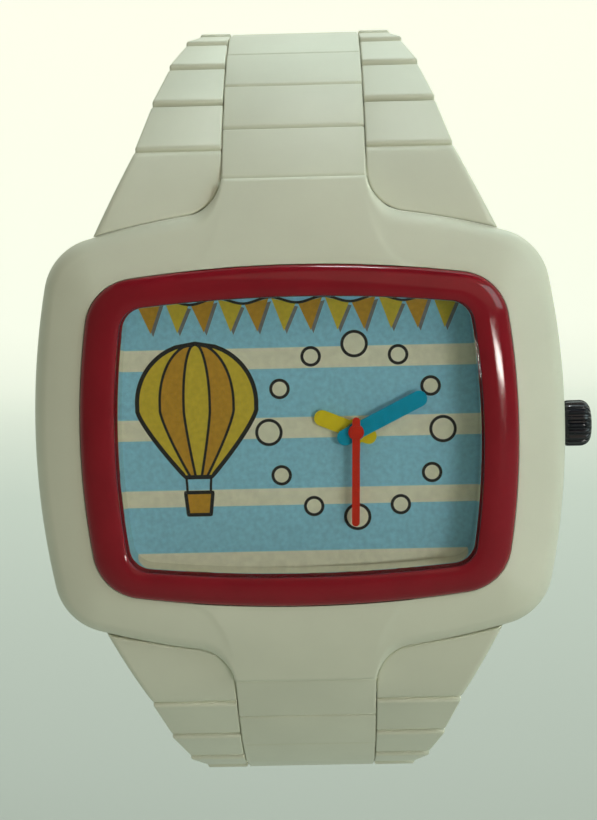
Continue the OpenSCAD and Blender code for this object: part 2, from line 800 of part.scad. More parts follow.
case_body();
bezel_ring();
crystal();
dial();
case_back();
case_back_gasket();
case_back_screws();
movement_holder();
main_plate();
circuit_board();
motor_coil();
battery();
hour_hand();
hour_wheel();
minute_hand();
minute_wheel();
second_hand();
second_arbor();
stem();
crown_seal();
crown();
end_link_pins();
upper_end_link();
lower_end_link();
for (k = [0, 1], i = [1:links - 1]) {
    bracelet_link(ends[k], i);
    bracelet_pin(ends[k], i);
}
clasp_base();
clasp_middle();
clasp_cover();
clasp_hinge_pins();
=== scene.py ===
import math
import bpy
import bmesh
import numpy as np
from mathutils import Matrix, Vector


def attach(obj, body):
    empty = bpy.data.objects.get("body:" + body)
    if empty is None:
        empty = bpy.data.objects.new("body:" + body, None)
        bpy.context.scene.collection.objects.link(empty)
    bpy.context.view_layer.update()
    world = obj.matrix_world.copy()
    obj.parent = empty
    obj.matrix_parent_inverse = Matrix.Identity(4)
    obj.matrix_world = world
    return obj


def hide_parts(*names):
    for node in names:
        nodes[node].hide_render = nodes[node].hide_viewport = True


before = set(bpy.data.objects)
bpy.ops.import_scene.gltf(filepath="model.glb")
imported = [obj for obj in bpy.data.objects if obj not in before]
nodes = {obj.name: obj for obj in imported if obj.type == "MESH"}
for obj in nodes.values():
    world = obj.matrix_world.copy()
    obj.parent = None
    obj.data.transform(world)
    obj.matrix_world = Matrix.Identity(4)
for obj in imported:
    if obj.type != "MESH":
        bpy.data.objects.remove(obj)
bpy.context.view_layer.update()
MM = 0.001

# Sizes repeated from the part's source, in millimetres of the watch:
# x to 3 o'clock, y to 12, z out of the dial
CASE = (22.1, 18.8, 65.0, 65.0, 5.0)
BEZEL = (18.0, 14.1, 63.0, 104.0, 4.2)
WINDOW = (15.0, 11.5, 63.0, 124.8, 1.9)
BACK = tuple(v + 1.75 for v in BEZEL)
FACE_Z, FACE_FALL, RIM_Z, UNDER_R, SEAT_Z, BACK_T = 9.5, 1.6, 0.5, 1.6, 7.4, 1.1
LUG_W, FILLET_R, LUG_PIN = 12.0, 3.5, (19.14, 5.5)
BEZEL_TOP, LEDGE_Z, CRYSTAL_T, CRYSTAL_DOME, DIAL_Z, HAND_X = 10.5, 9.05, 1.2, 0.2, 5.9, 4.7
CROWN_X, CROWN_L, CROWN_R, CROWN_END_R, STEM_Z = 21.6, 3.0, 1.95, 0.9, 3.9
PITCH, LINK_OUT, LINK_IN, LINKS = 6.0, 1.7, 1.25, 9
SEAM, SIDE, JOIN = 0.12, 0.07, 0.06
FIRST_SLOPE, FIRST_BEND, BEND_STEP = 43.6, 6.0, 2.2
ROOT_W, SEAM_W, TAPER, CLASP_W = 33.4, 26.8, 2.3, 18.0
MID_FROM, ARM_TO = LINK_IN + SEAM, PITCH - LINK_IN - SEAM

# Sizes of the looks alone: edge radii of the case and its lugs, of the links, and the pin holes in the links
FACE_EDGE_R, LUG_EDGE_R, LINK_EDGE_R, LINK_INNER_R, LINK_OUTER_R = 1.25, 0.28, 0.32, 0.16, 0.29
PIN_HOLE_R, PIN_HOLE_DEPTH = 0.64, 0.9
# Width of the slope at the case's edge, and share of the bezel's width where its face ends at the crystal
FALL_W, LIP = 4.6, 0.968


def slope(i):
    """Slope of a link, which grows by a larger step from each link to the next."""
    return math.radians(FIRST_SLOPE + FIRST_BEND*i + BEND_STEP*i*(i - 1)/2)


def pin_at(i):
    """Place of the pin that a link turns on, as y and z of the watch."""
    y, z = LUG_PIN
    for k in range(i):
        y += PITCH*math.cos(slope(k))
        z -= PITCH*math.sin(slope(k))
    return y, z


def strap_w(i):
    """Width of the bracelet at the start of a link."""
    return max(CLASP_W, SEAM_W - TAPER*(i - 1))


def on_link(i, s, t):
    """Point of a link, s along it from its pin and t out of the bracelet, as y and z of the watch."""
    a, (y, z) = slope(i), pin_at(i)
    return y + s*math.cos(a) + t*math.sin(a), z - s*math.sin(a) + t*math.cos(a)


# Plans: the same count of points on every outline, so that outlines can be joined point by point
def outline(q, side=30, corner=30, end=84):
    """Pillow outline from half width, half height, radius of the sides, of the ends and of the corners."""
    a, b = np.array([q[0] - q[2], 0.0]), np.array([0.0, q[1] - q[3]])
    ra, rb = q[2] - q[4], q[3] - q[4]
    d = np.linalg.norm(b - a)
    u = (b - a)/d
    m = (ra*ra - rb*rb + d*d)/(2*d)
    c = a + m*u + math.sqrt(ra*ra - m*m)*np.array([-u[1], u[0]])
    t0 = math.atan2(c[1], c[0] - a[0])
    t1 = math.atan2(c[1] - b[1], c[0])

    def arc(o, r, f, t, n):
        k = np.linspace(f, t, n, endpoint=False)
        return np.stack([o[0] + r*np.cos(k), o[1] + r*np.sin(k)], 1)
    quarter = np.concatenate([arc(a, q[2], 0, t0, side), arc(c, q[4], t0, t1, corner),
                              arc(b, q[3], t1, math.pi/2, end), [[0.0, q[1]]]])
    upper = np.concatenate([quarter, quarter[-2::-1]*[-1, 1]])
    return np.concatenate([upper, upper[-2:0:-1]*[1, -1]])


def inset(q, d):
    return tuple(v - d for v in q)


def bezel_line(f):
    """Outline at a share of the way from the bezel's outer edge to the window."""
    return outline(BEZEL)*(1 - f) + outline(WINDOW)*f


def ring_at(points, z):
    return np.column_stack([points, np.full(len(points), z) if np.isscalar(z) else z])


def distance(p, line):
    """Distance of points from a closed or open polyline, in the plan."""
    a, b = line[:-1], line[1:]
    ab = b - a
    ll = np.maximum((ab*ab).sum(1), 1e-12)
    out = np.empty(len(p))
    for k in range(0, len(p), 2000):
        q = p[k:k + 2000, None, :] - a[None]
        t = np.clip((q*ab[None]).sum(2)/ll, 0, 1)
        out[k:k + 2000] = np.sqrt(((q - t[..., None]*ab[None])**2).sum(2)).min(1)
    return out


def smooth(x):
    x = np.clip(x, 0, 1)
    return x*x*(3 - 2*x)


# Mesh helpers
def piece(name, parts, material, body, replaces=(), sharp=40):
    """One object from a list of (points in mm of the watch, faces), riding on a body."""
    verts, faces = [], []
    for v, f in parts:
        base = len(verts)
        verts.extend((x*MM, -z*MM, y*MM) for x, y, z in v)
        faces.extend(tuple(base + i for i in q) for q in f)
    me = bpy.data.meshes.new(name)
    me.from_pydata(verts, [], faces)
    bm = bmesh.new()
    bm.from_mesh(me)
    bmesh.ops.remove_doubles(bm, verts=bm.verts, dist=1e-9)
    bmesh.ops.recalc_face_normals(bm, faces=bm.faces)
    bm.to_mesh(me)
    bm.free()
    me.shade_smooth()
    me.set_sharp_from_angle(angle=math.radians(sharp))
    ob = bpy.data.objects.new(name, me)
    bpy.context.scene.collection.objects.link(ob)
    me.materials.append(material)
    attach(ob, body)
    if replaces:
        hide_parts(*replaces)


def loft(rings, closed=False):
    """Faces through rings of equal length, each ring closed, with a cap at both ends or the ends joined."""
    n, m = len(rings[0]), len(rings)
    v = np.concatenate(rings)
    f = []
    for j in range(m if closed else m - 1):
        a, b = j*n, ((j + 1) % m)*n
        f += [(a + i, a + (i + 1) % n, b + (i + 1) % n, b + i) for i in range(n)]
    if not closed:
        f += [tuple(range(n)), tuple(range((m - 1)*n, m*n))]
    return v, f


def sheet_faces(nu, nv, base=0):
    return [(base + i*nv + j, base + (i + 1)*nv + j, base + (i + 1)*nv + j + 1, base + i*nv + j + 1)
            for i in range(nu - 1) for j in range(nv - 1)]


def arc_pts(cx, cy, r, a0, a1, n):
    return [(cx + r*math.cos(math.radians(a0 + (a1 - a0)*k/n)),
             cy + r*math.sin(math.radians(a0 + (a1 - a0)*k/n))) for k in range(n + 1)]


def grown(poly, d):
    """Closed profile, anticlockwise, with every side moved inwards by d."""
    p = np.array(poly, float)
    e = np.roll(p, -1, 0) - p
    e /= np.maximum(1e-9, np.linalg.norm(e, axis=1))[:, None]
    n = np.column_stack([-e[:, 1], e[:, 0]])
    none = ~n.any(axis=1)
    n[none] = np.roll(n, -1, 0)[none]
    m = n + np.roll(n, 1, 0)
    m /= np.linalg.norm(m, axis=1)[:, None]
    return p + d*m/np.maximum(0.5, (m*n).sum(axis=1))[:, None]


def dense(poly, step):
    """Closed profile with points no more than a step apart."""
    out = []
    for a, b in zip(poly, poly[1:] + poly[:1]):
        n = max(1, math.ceil(math.dist(a, b)/step))
        out += [(a[0] + (b[0] - a[0])*k/n, a[1] + (b[1] - a[1])*k/n) for k in range(n)]
    return out


def bar(profile, lo, hi, r, bore=None):
    """A side view [s, t], anticlockwise, swept from x = lo(s) to x = hi(s) with rounded side edges.
    r may be one radius or one for each side; bore gives (radius, depth of the hole in the hi side)."""
    steps = [0, 0.05, 0.17, 0.35, 0.6, 1.0]
    p = np.array(profile, float)
    rings = []
    r_lo, r_hi = r if isinstance(r, tuple) else (r, r)
    for end, line, r in ((0, lo, r_lo), (1, hi, r_hi)):
        q = grown(p, r + 0.02)
        part = [np.column_stack([[line(s) for s in q[:, 0]], q])]
        for e in steps:
            q = grown(p, r - math.sqrt(max(0.0, r*r - (r - e*r)**2)))
            x = np.array([line(s) for s in q[:, 0]]) + (e*r if end == 0 else -e*r)
            part.append(np.column_stack([x, q]))
        rings += part if end == 0 else part[::-1]
    if not bore:
        return loft(rings)
    rad, deep = bore
    last = rings[-1]
    ang = np.unwrap(np.arctan2(last[:, 2], last[:, 1]))

    def ring(k, down):
        s, t = k*rad*np.cos(ang), k*rad*np.sin(ang)
        return np.column_stack([[hi(q) - down for q in s], s, t])
    rings += [ring(1.2, 0), ring(1.1, 0), ring(1.0, 0.06), ring(1.0, deep)]
    return loft(rings)


def place(part, i, end, flip=False):
    """Puts a link drawn as [x, s, t] at its place in the bracelet, as points of the watch."""
    v, f = part
    a, (y, z) = slope(i), pin_at(i)
    x, s, t = v[:, 0], v[:, 1], v[:, 2]
    out = np.column_stack([-x if flip else x, end*(y + s*math.cos(a) + t*math.sin(a)),
                           z - s*math.sin(a) + t*math.cos(a)])
    return out, f


# Materials
def node_tree(name):
    m = bpy.data.materials.new(name)
    m.use_nodes = True
    t = m.node_tree
    t.nodes.clear()
    out = t.nodes.new("ShaderNodeOutputMaterial")
    return m, t, out


def noise(t, scale, detail, stretch=None):
    co = t.nodes.new("ShaderNodeTexCoord")
    src = co.outputs["Object"]
    if stretch:
        mp = t.nodes.new("ShaderNodeMapping")
        mp.inputs["Scale"].default_value = stretch
        t.links.new(src, mp.inputs["Vector"])
        src = mp.outputs["Vector"]
    n = t.nodes.new("ShaderNodeTexNoise")
    n.inputs["Scale"].default_value = scale
    n.inputs["Detail"].default_value = detail
    t.links.new(src, n.inputs["Vector"])
    return n.outputs["Fac"]


def ramp(t, fac, stops):
    r = t.nodes.new("ShaderNodeValToRGB")
    e = r.color_ramp.elements
    while len(e) < len(stops):
        e.new(0.5)
    for k, (pos, col) in enumerate(stops):
        e[k].position = pos
        e[k].color = (*col, 1)
    t.links.new(fac, r.inputs["Fac"])
    return r.outputs["Color"]


def remap(t, fac, lo, hi):
    r = t.nodes.new("ShaderNodeMapRange")
    r.inputs["From Min"].default_value = 0.25
    r.inputs["From Max"].default_value = 0.75
    r.inputs["To Min"].default_value = lo
    r.inputs["To Max"].default_value = hi
    t.links.new(fac, r.inputs["Value"])
    return r.outputs["Result"]


def surface(name, col, vary=0.06, blotch=220, rough=(0.3, 0.4), grain=5000, bump=0.05, depth=2e-5,
            metallic=0.0, coat=0.0, spec=0.5, stretch=None):
    """Principled material whose colour, roughness and relief vary as the real finish does."""
    m, t, out = node_tree(name)
    b = t.nodes.new("ShaderNodeBsdfPrincipled")
    t.links.new(b.outputs["BSDF"], out.inputs["Surface"])
    c = np.array(col)
    dark = c*(1 - vary)
    light = np.minimum(c*(1 + vary*0.6), 1.0)
    t.links.new(ramp(t, noise(t, blotch, 4.0, stretch), [(0.3, dark), (0.7, light)]), b.inputs["Base Color"])
    fine = noise(t, grain, 2.0, stretch)
    t.links.new(remap(t, fine, *rough), b.inputs["Roughness"])
    bp = t.nodes.new("ShaderNodeBump")
    bp.inputs["Strength"].default_value = bump
    bp.inputs["Distance"].default_value = depth
    t.links.new(fine, bp.inputs["Height"])
    t.links.new(bp.outputs["Normal"], b.inputs["Normal"])
    b.inputs["Metallic"].default_value = metallic
    b.inputs["Coat Weight"].default_value = coat
    b.inputs["Coat Roughness"].default_value = 0.05
    b.inputs["Specular IOR Level"].default_value = spec
    return m


def clear_glass(name):
    m, t, out = node_tree(name)
    see = t.nodes.new("ShaderNodeBsdfTransparent")
    see.inputs["Color"].default_value = (0.995, 1.0, 0.995, 1)
    gl = t.nodes.new("ShaderNodeBsdfGlossy")
    t.links.new(remap(t, noise(t, 900, 3.0), 0.02, 0.06), gl.inputs["Roughness"])
    fr = t.nodes.new("ShaderNodeFresnel")
    fr.inputs["IOR"].default_value = 1.22
    mx = t.nodes.new("ShaderNodeMixShader")
    t.links.new(fr.outputs["Fac"], mx.inputs["Fac"])
    t.links.new(see.outputs["BSDF"], mx.inputs[1])
    t.links.new(gl.outputs["BSDF"], mx.inputs[2])
    t.links.new(mx.outputs["Shader"], out.inputs["Surface"])
    return m


WHITE = surface("white_plastic_mat", (0.76, 0.762, 0.63), 0.035, 160, (0.36, 0.5), 7000, 0.10, 2e-5)
RED = surface("red_gloss_mat", (0.27, 0.008, 0.018), 0.10, 260, (0.06, 0.11), 2500, 0.02, 1e-5, spec=0.36)
GLASS = clear_glass("crystal_mat")
CREAM = surface("dial_cream_mat", (0.91, 0.91, 0.74), 0.07, 1800, (0.6, 0.75), 9000, 0.10, 1.5e-5, spec=0.2)
BLUE = surface("dial_blue_mat", (0.33, 0.72, 0.97), 0.12, 2400, (0.55, 0.7), 9000, 0.10, 1.5e-5, spec=0.2)
STEEL = surface("steel_mat", (0.62, 0.62, 0.60), 0.08, 4500, (0.24, 0.36), 6500, 0.12, 1e-5,
                metallic=1.0, stretch=(1, 0.06, 0.06))
SCREW = surface("screw_mat", (0.20, 0.20, 0.21), 0.15, 1500, (0.22, 0.34), 3500, 0.06, 1e-5, metallic=1.0)
RUBBER = surface("rubber_mat", (0.03, 0.03, 0.03), 0.3, 900, (0.7, 0.9), 6000, 0.2, 2e-5, spec=0.3)
IVORY = surface("movement_mat", (0.74, 0.72, 0.64), 0.06, 500, (0.5, 0.65), 5000, 0.1, 2e-5)
BOARD = surface("board_mat", (0.04, 0.20, 0.09), 0.25, 1500, (0.3, 0.45), 5000, 0.1, 1e-5)
COPPER = surface("copper_mat", (0.60, 0.27, 0.12), 0.25, 3000, (0.3, 0.45), 1200, 0.4, 3e-5,
                 metallic=1.0, stretch=(6, 0.3, 0.3))
BRASS = surface("brass_mat", (0.70, 0.52, 0.22), 0.10, 900, (0.25, 0.4), 3000, 0.1, 1e-5, metallic=1.0)
YELLOW = surface("yellow_paint_mat", (0.90, 0.72, 0.02), 0.08, 1500, (0.4, 0.55), 6000, 0.08, 1e-5, spec=0.15)
TEAL = surface("teal_paint_mat", (0.001, 0.40, 0.66), 0.10, 1500, (0.4, 0.55), 6000, 0.08, 1e-5, spec=0.12)
SECOND = surface("red_paint_mat", (0.74, 0.030, 0.010), 0.10, 1500, (0.4, 0.55), 6000, 0.08, 1e-5, spec=0.15)
BLACK = surface("crown_black_mat", (0.009, 0.010, 0.016), 0.3, 900, (0.16, 0.28), 4000, 0.05, 1e-5,
                coat=0.2, spec=0.35)
FLANGE = surface("flange_mat", (0.80, 0.80, 0.76), 0.05, 700, (0.05, 0.12), 2500, 0.02, 1e-5, metallic=1.0)
INK = surface("print_black_mat", (0.022, 0.022, 0.022), 0.3, 2500, (0.45, 0.6), 8000, 0.1, 1e-5, spec=0.3)
GOLD = surface("print_yellow_mat", (0.72, 0.56, 0.05), 0.10, 2500, (0.45, 0.6), 8000, 0.1, 1e-5, spec=0.3)
AMBER = surface("print_amber_mat", (0.62, 0.34, 0.03), 0.12, 2500, (0.45, 0.6), 8000, 0.1, 1e-5, spec=0.3)
SLATE = surface("print_grey_mat", (0.22, 0.23, 0.24), 0.15, 2500, (0.45, 0.6), 8000, 0.1, 1e-5, spec=0.3)


# Front of the case: a pillow that falls to its edge, and a raised band that runs into each lug
PIL = outline(CASE)
ARC_Y = CASE[1] - CASE[3]
FIL_X = LUG_W/2 + FILLET_R
FIL_Y = ARC_Y + math.sqrt((CASE[3] + FILLET_R)**2 - FIL_X**2)
TIP = on_link(0, LINK_IN, LINK_OUT)
CREST = (BEZEL[1] - 1, FACE_Z + 0.25)


def bow(p, q, rise, n=60):
    """Line from p to q that bulges to its left by rise."""
    p, q = np.array(p), np.array(q)
    u = (q - p)/np.linalg.norm(q - p)
    k = np.linspace(0, 1, n)[:, None]
    return p + (q - p)*k + 4*rise*k*(1 - k)*np.array([-u[1], u[0]])


LUG_TOP = bow(TIP, CREST, -0.7)[::-1]


def case_edge():
    """Outline of the case with its lugs, and how far each point belongs to a lug."""
    tip_x = FIL_X - math.sqrt(FILLET_R**2 - (FIL_Y - TIP[0])**2)
    tan_x = FIL_X*CASE[3]/(CASE[3] + FILLET_R)
    a0 = math.atan2(TIP[0] - FIL_Y, tip_x - FIL_X)
    a1 = math.atan2(-(FIL_Y - ARC_Y), -FIL_X)
    k = np.linspace(0, 1, 60)
    b = a0 + (a1 - a0)*k
    curve = np.column_stack([FIL_X + FILLET_R*np.cos(b), FIL_Y + FILLET_R*np.sin(b)])
    run = np.concatenate([[0], np.cumsum(np.linalg.norm(np.diff(curve, axis=0), axis=1))])
    p, w = PIL.copy(), np.zeros(len(PIL))
    on = (np.abs(PIL[:, 0]) <= tan_x) & (np.abs(PIL[:, 1]) > 10)
    share = np.abs(PIL[:, 0])/tan_x
    # Share of the lug's half width that is its straight end
    cut = 0.56
    for i in np.nonzero(on)[0]:
        f, sx, sy = share[i], np.sign(PIL[i, 0]), np.sign(PIL[i, 1])
        if f <= cut:
            q, w[i] = (tip_x*f/cut, TIP[0]), 1.0
        else:
            g = (f - cut)/(1 - cut)
            q = [np.interp(g*run[-1], run, curve[:, j]) for j in (0, 1)]
            w[i] = 1 - smooth(np.array(g*1.15))
        p[i] = sx*q[0], sy*q[1]
    return p, w


EDGE, LUGNESS = case_edge()
# Half width of the raised band at each height
BAND_Y = [12.6, 13.1, 13.6, 14.7, 16.0, 17.2, 19.4, 21.3]
BAND_X = [11.2, 10.3, 9.5, 8.1, 7.3, 6.85, 6.3, 6.05]


def front(p):
    """Height of the case's face: the higher of the pillow and the band, with a soft join."""
    x, y = np.abs(p[:, 0]), np.abs(p[:, 1])
    d = distance(p, np.concatenate([PIL, PIL[:1]]))
    outside = np.hypot(x, y - ARC_Y) > CASE[3]
    d = np.where(outside & (x < 16), -d, d)
    u = np.clip(d/FALL_W, -0.7, 1)
    face = FACE_Z - FACE_FALL*(1 - u)**1.5
    top = np.interp(y, LUG_TOP[:, 0], LUG_TOP[:, 1])
    off = x - np.interp(y, BAND_Y, BAND_X)
    step_h, step_w, soft = 0.42, 1.3, 0.12
    band = top - step_h*smooth(off/step_w + 0.5) - 0.7*np.maximum(0, off - 0.6)**1.3
    return 0.5*(face + band + np.sqrt((face - band)**2 + soft**2)) - 0.02


def case_shell():
    n = len(PIL)
    bez = outline(inset(BEZEL, -0.04))
    closed = np.concatenate([EDGE, EDGE[:1]])
    rad = FACE_EDGE_R*(1 - LUGNESS) + LUG_EDGE_R*LUGNESS
    rings = [ring_at(bez, SEAT_Z)]
    for tau in np.linspace(0, 1, 40):
        t = 1 - (1 - tau)**2
        p = bez*(1 - t) + EDGE*t
        d = np.minimum(distance(p, closed), rad) if tau < 1 else np.zeros(n)
        rings.append(ring_at(p, front(p) - (rad - np.sqrt(np.maximum(0, rad**2 - (rad - d)**2)))))
    last = rings[-1]
    a, (py, pz) = slope(0), LUG_PIN
    sign = np.sign(last[:, 1])
    s = (np.abs(last[:, 1]) - py)*math.cos(a) - (last[:, 2] - pz)*math.sin(a)
    t = (np.abs(last[:, 1]) - py)*math.sin(a) + (last[:, 2] - pz)*math.cos(a)
    for k in range(1, 11):
        g = k/10
        wall = np.column_stack([EDGE, last[:, 2]*(1 - g) + (RIM_Z + UNDER_R)*g])
        if k <= 5:
            ls, lt = s, t*(1 - k/5)
        else:
            b = math.pi/2*(k - 5)/5
            ls, lt = np.minimum(s, LINK_IN*math.cos(b)), np.full(n, -LINK_IN*math.sin(b))
        lug = np.column_stack([last[:, 0], sign*(py + ls*math.cos(a) + lt*math.sin(a)),
                               pz - ls*math.sin(a) + lt*math.cos(a)])
        rings.append(wall*(1 - LUGNESS[:, None]) + lug*LUGNESS[:, None])
    for b in np.linspace(0, math.pi/2, 7):
        under = outline(inset(CASE, UNDER_R*(1 - math.cos(b)) + 0.001))
        rings.append(ring_at(under, RIM_Z + UNDER_R*(1 - math.sin(b))))
    back, bore = outline(inset(BACK, -0.05)), bezel_line(0.58)
    rings += [ring_at(back, RIM_Z), ring_at(back, BACK_T), ring_at(bore, BACK_T), ring_at(bore, SEAT_Z)]
    return loft(rings, closed=True)


piece("case_shell", [case_shell()], WHITE, "head", ["case_body"], 50)


# Bezel frame, crystal
def bezel_shell():
    """Soft dome on the outer side, nearly flat face, step down to the crystal's ledge."""
    dome_w, dome_h = 0.68, 1.1
    sec = [(0, SEAT_Z + 0.02), (0, 8.8)]
    sec += [(dome_w*(1 - math.cos(b)), BEZEL_TOP - dome_h + dome_h*math.sin(b))
            for b in np.linspace(0.05, math.pi/2, 26)]
    sec += [(dome_w + 0.26*k, BEZEL_TOP - 0.12*k**2) for k in np.linspace(0.2, 1, 6)]
    sec += [(0.955, BEZEL_TOP - 0.14), (0.964, BEZEL_TOP - 0.18), (LIP, BEZEL_TOP - 0.23)]
    sec += [(LIP, LEDGE_Z + 0.02)]
    sec += [(0.985, LEDGE_Z), (1.0, LEDGE_Z - 0.07), (1.0, 5.96), (0.62, 5.96), (0.62, SEAT_Z + 0.02)]
    return loft([ring_at(bezel_line(f), z) for f, z in sec], closed=True)


piece("bezel_shell", [bezel_shell()], RED, "head", ["bezel_ring"], 50)


def crystal_shell():
    edge, low = bezel_line(LIP + 0.006), LEDGE_Z + 0.02
    top = low + CRYSTAL_T - 0.02
    rings = [ring_at(edge*k, low) for k in (0.02, 0.5, 0.99)] + [ring_at(edge, low + 0.05)]
    rings += [ring_at(edge, top - 0.08), ring_at(edge*0.998, top - 0.02)]
    rings += [ring_at(edge*k, top + CRYSTAL_DOME*(1 - k*k)) for k in np.linspace(0.99, 0.02, 24)]
    return loft(rings)


piece("crystal_dome", [crystal_shell()], GLASS, "head", ["crystal"], 40)


# Polished flange between the dial and the crystal, which mirrors the edge of the dial
def flange():
    sec = [(1.0, DIAL_Z + 0.05), (1.0, LEDGE_Z - 0.1), (1.012, LEDGE_Z - 0.08), (1.02, LEDGE_Z - 0.13),
           (1.02, DIAL_Z + 0.05)]
    return loft([ring_at(bezel_line(f), z) for f, z in sec], closed=True)


piece("window_flange", [flange()], FLANGE, "head", sharp=15)


# Bracelet links: arms beside a middle with its tongue, and a web that joins them
def arm_profile(r=LINK_EDGE_R):
    p = [(ARM_TO, -LINK_IN)] + arc_pts(ARM_TO - r, LINK_OUT - r, r, 0, 90, 6)
    p += arc_pts(-LINK_IN + r, LINK_OUT - r, r, 90, 180, 6) + arc_pts(0, 0, LINK_IN, 180, 270, 10)
    return p


def mid_profile(r=LINK_EDGE_R):
    p = [(MID_FROM, -LINK_IN)] + arc_pts(PITCH, 0, LINK_IN, -90, 0, 10)
    p += arc_pts(PITCH + LINK_IN - r, LINK_OUT - r, r, 0, 90, 6)
    return p + arc_pts(MID_FROM + r, LINK_OUT - r, r, 90, 180, 6)


def mid_part():
    h = LUG_W/2
    return bar(mid_profile(), lambda s: -h, lambda s: h, LINK_INNER_R)


def web_part():
    a, b, low, high, half = MID_FROM + 0.3, ARM_TO - 0.3, -1.05, 1.25, LUG_W/2 + 1.5
    box = [(a, low), (b, low), (b, high), (a, high)]
    return bar(box, lambda s: -half, lambda s: half, 0.05)


def arm_part(i):
    w0, w1 = strap_w(i)/2, strap_w(i + 1)/2

    def hi(s):
        return w0 + (w1 - w0)*(s + LINK_IN)/(ARM_TO + LINK_IN)
    return bar(dense(arm_profile(), 0.16), lambda s: LUG_W/2 + SIDE, hi, (LINK_INNER_R, LINK_OUTER_R),
               bore=(PIN_HOLE_R, PIN_HOLE_DEPTH))


for end, side in ((1, "upper"), (-1, "lower")):
    for i in range(1, LINKS):
        arm = arm_part(i)
        parts = [place(arm, i, end), place(arm, i, end, True)]
        parts += [place(mid_part(), i, end), place(web_part(), i, end)]
        piece(f"{side}_link_{i}_shell", parts, WHITE, f"{side}_{i}", [f"{side}_link_{i}"],
              50)


# End links: each arm fills the corner between the lug, the case and the first seam
# Thickness of an arm at the seam and at the case
SEAM_T, END_T = 2.75, 2.2


def end_arm():
    top_line = bow(on_link(0, ARM_TO, LINK_OUT), (CASE[1] - 3.2, FACE_Z - FACE_FALL - 0.5), -0.6)[::-1]
    seam_y = on_link(0, ARM_TO, LINK_OUT)[0]
    r = FILLET_R - JOIN
    a1 = math.atan2(-(FIL_Y - ARC_Y), -FIL_X)
    fil = [(FIL_X + r*math.cos(b), FIL_Y + r*math.sin(b)) for b in np.linspace(-math.pi, a1, 40)]
    R = CASE[3] + JOIN
    x0 = fil[-1][0]
    arcp = [(x, ARC_Y + math.sqrt(R*R - x*x)) for x in np.linspace(x0, ROOT_W/2, 60)[1:]]
    edge = np.array(fil + arcp)
    run = np.concatenate([[0], np.cumsum(np.linalg.norm(np.diff(edge, axis=0), axis=1))])
    us, vs = (0.5 - 0.5*np.cos(np.linspace(0, math.pi, n)) for n in (44, 40))
    c = np.column_stack([np.interp(us*run[-1], run, edge[:, k]) for k in (0, 1)])
    s = np.column_stack([LUG_W/2 + SIDE + (SEAM_W/2 - LUG_W/2 - SIDE)*us, np.full(len(us), seam_y)])
    grid = s[:, None]*(1 - vs)[None, :, None] + c[:, None]*vs[None, :, None]
    p = grid.reshape(-1, 2)
    top = np.interp(p[:, 1], top_line[:, 0], top_line[:, 1])
    z = top
    for line, rr in ((s, 0.42), (c, 0.22), (grid[0], 0.18), (grid[-1], 0.5)):
        d = np.minimum(distance(p, line), rr)
        z = z - (rr - np.sqrt(np.maximum(0, rr*rr - (rr - d)**2)))
    a = slope(0)
    seam_off = -SEAM_T*np.array([math.sin(a), math.cos(a)])
    vv = np.tile(vs, len(us))
    low = np.column_stack([p[:, 0], p[:, 1] + seam_off[0]*(1 - vv), top + seam_off[1]*(1 - vv) - END_T*vv])
    nu, nv = len(us), len(vs)
    v = np.concatenate([np.column_stack([p, z]), low])
    f = sheet_faces(nu, nv) + [q[::-1] for q in sheet_faces(nu, nv, nu*nv)]
    rim = list(range(nv)) + [i*nv + nv - 1 for i in range(1, nu)]
    rim += [(nu - 1)*nv + j for j in range(nv - 2, -1, -1)] + [i*nv for i in range(nu - 2, 0, -1)]
    k = len(rim)
    f += [(rim[j], rim[(j + 1) % k], rim[(j + 1) % k] + nu*nv, rim[j] + nu*nv) for j in range(k)]
    return v, f


for end, side in ((1, "upper"), (-1, "lower")):
    v, f = end_arm()
    parts = [(v*[sx, end, 1], f) for sx in (1, -1)]
    parts += [place(mid_part(), 0, end), place(web_part(), 0, end)]
    piece(f"{side}_end_link_shell", parts, WHITE, "head", [f"{side}_end_link"], 50)


# Clasp: cover and base, drawn as [x, radius] and swept along the clasp's curve
CLASP_R, EAR_L, CATCH_L, COVER_GAP = 60.0, 2.0, 3.6, 0.4
EAR_R, EAR_BORE, HINGE_BORE, COVER_KNUCKLE_R, BASE_KNUCKLE_R = 1.0, 0.66, 0.51, 1.05, 0.95
COVER_WALL, COVER_IN, COVER_OUT, BASE_OUT = 0.9, 1.4, 2.3, 2.1
BLADE_IN, BLADE_T, BLADE_W, KNUCKLE_W = 1.4, 0.7, 10.8, 5.25
GROOVE_X, GROOVE = 6.08, ((0.24, 0), (0.12, 0.05), (0.06, 0.16), (-0.06, 0.16), (-0.12, 0.05), (-0.24, 0))
CLASP_Y, CLASP_END = pin_at(LINKS)
CLASP_TURN = math.asin(CLASP_Y/CLASP_R)
CLASP_Z = CLASP_END + math.sqrt(CLASP_R**2 - CLASP_Y**2)
HINGE_LOW = (8.0/CLASP_R - CLASP_TURN, CLASP_R - 0.25)
HINGE_HIGH = (CLASP_TURN - 8.4/CLASP_R, CLASP_R + 0.3)


def clasp_sweep(profile, start, stop, r, n=36):
    """Closed profile [x, radius] carried from one turn to another, with rounded ends."""
    p = np.array(profile, float)
    rings = []
    for e in (0, 0.07, 0.25, 0.55, 1.0):
        rings.append((start + e*r/CLASP_R, grown(p, r - math.sqrt(max(0.0, r*r - (r - e*r)**2)))))
    body = [(k, p) for k in np.linspace(start + r/CLASP_R, stop - r/CLASP_R, n)[1:-1]]
    rings += body + [(start + stop - k, q) for k, q in rings[::-1]]
    return loft([np.column_stack([q[:, 0], q[:, 1]*math.sin(k), CLASP_Z - q[:, 1]*math.cos(k)])
                 for k, q in rings])


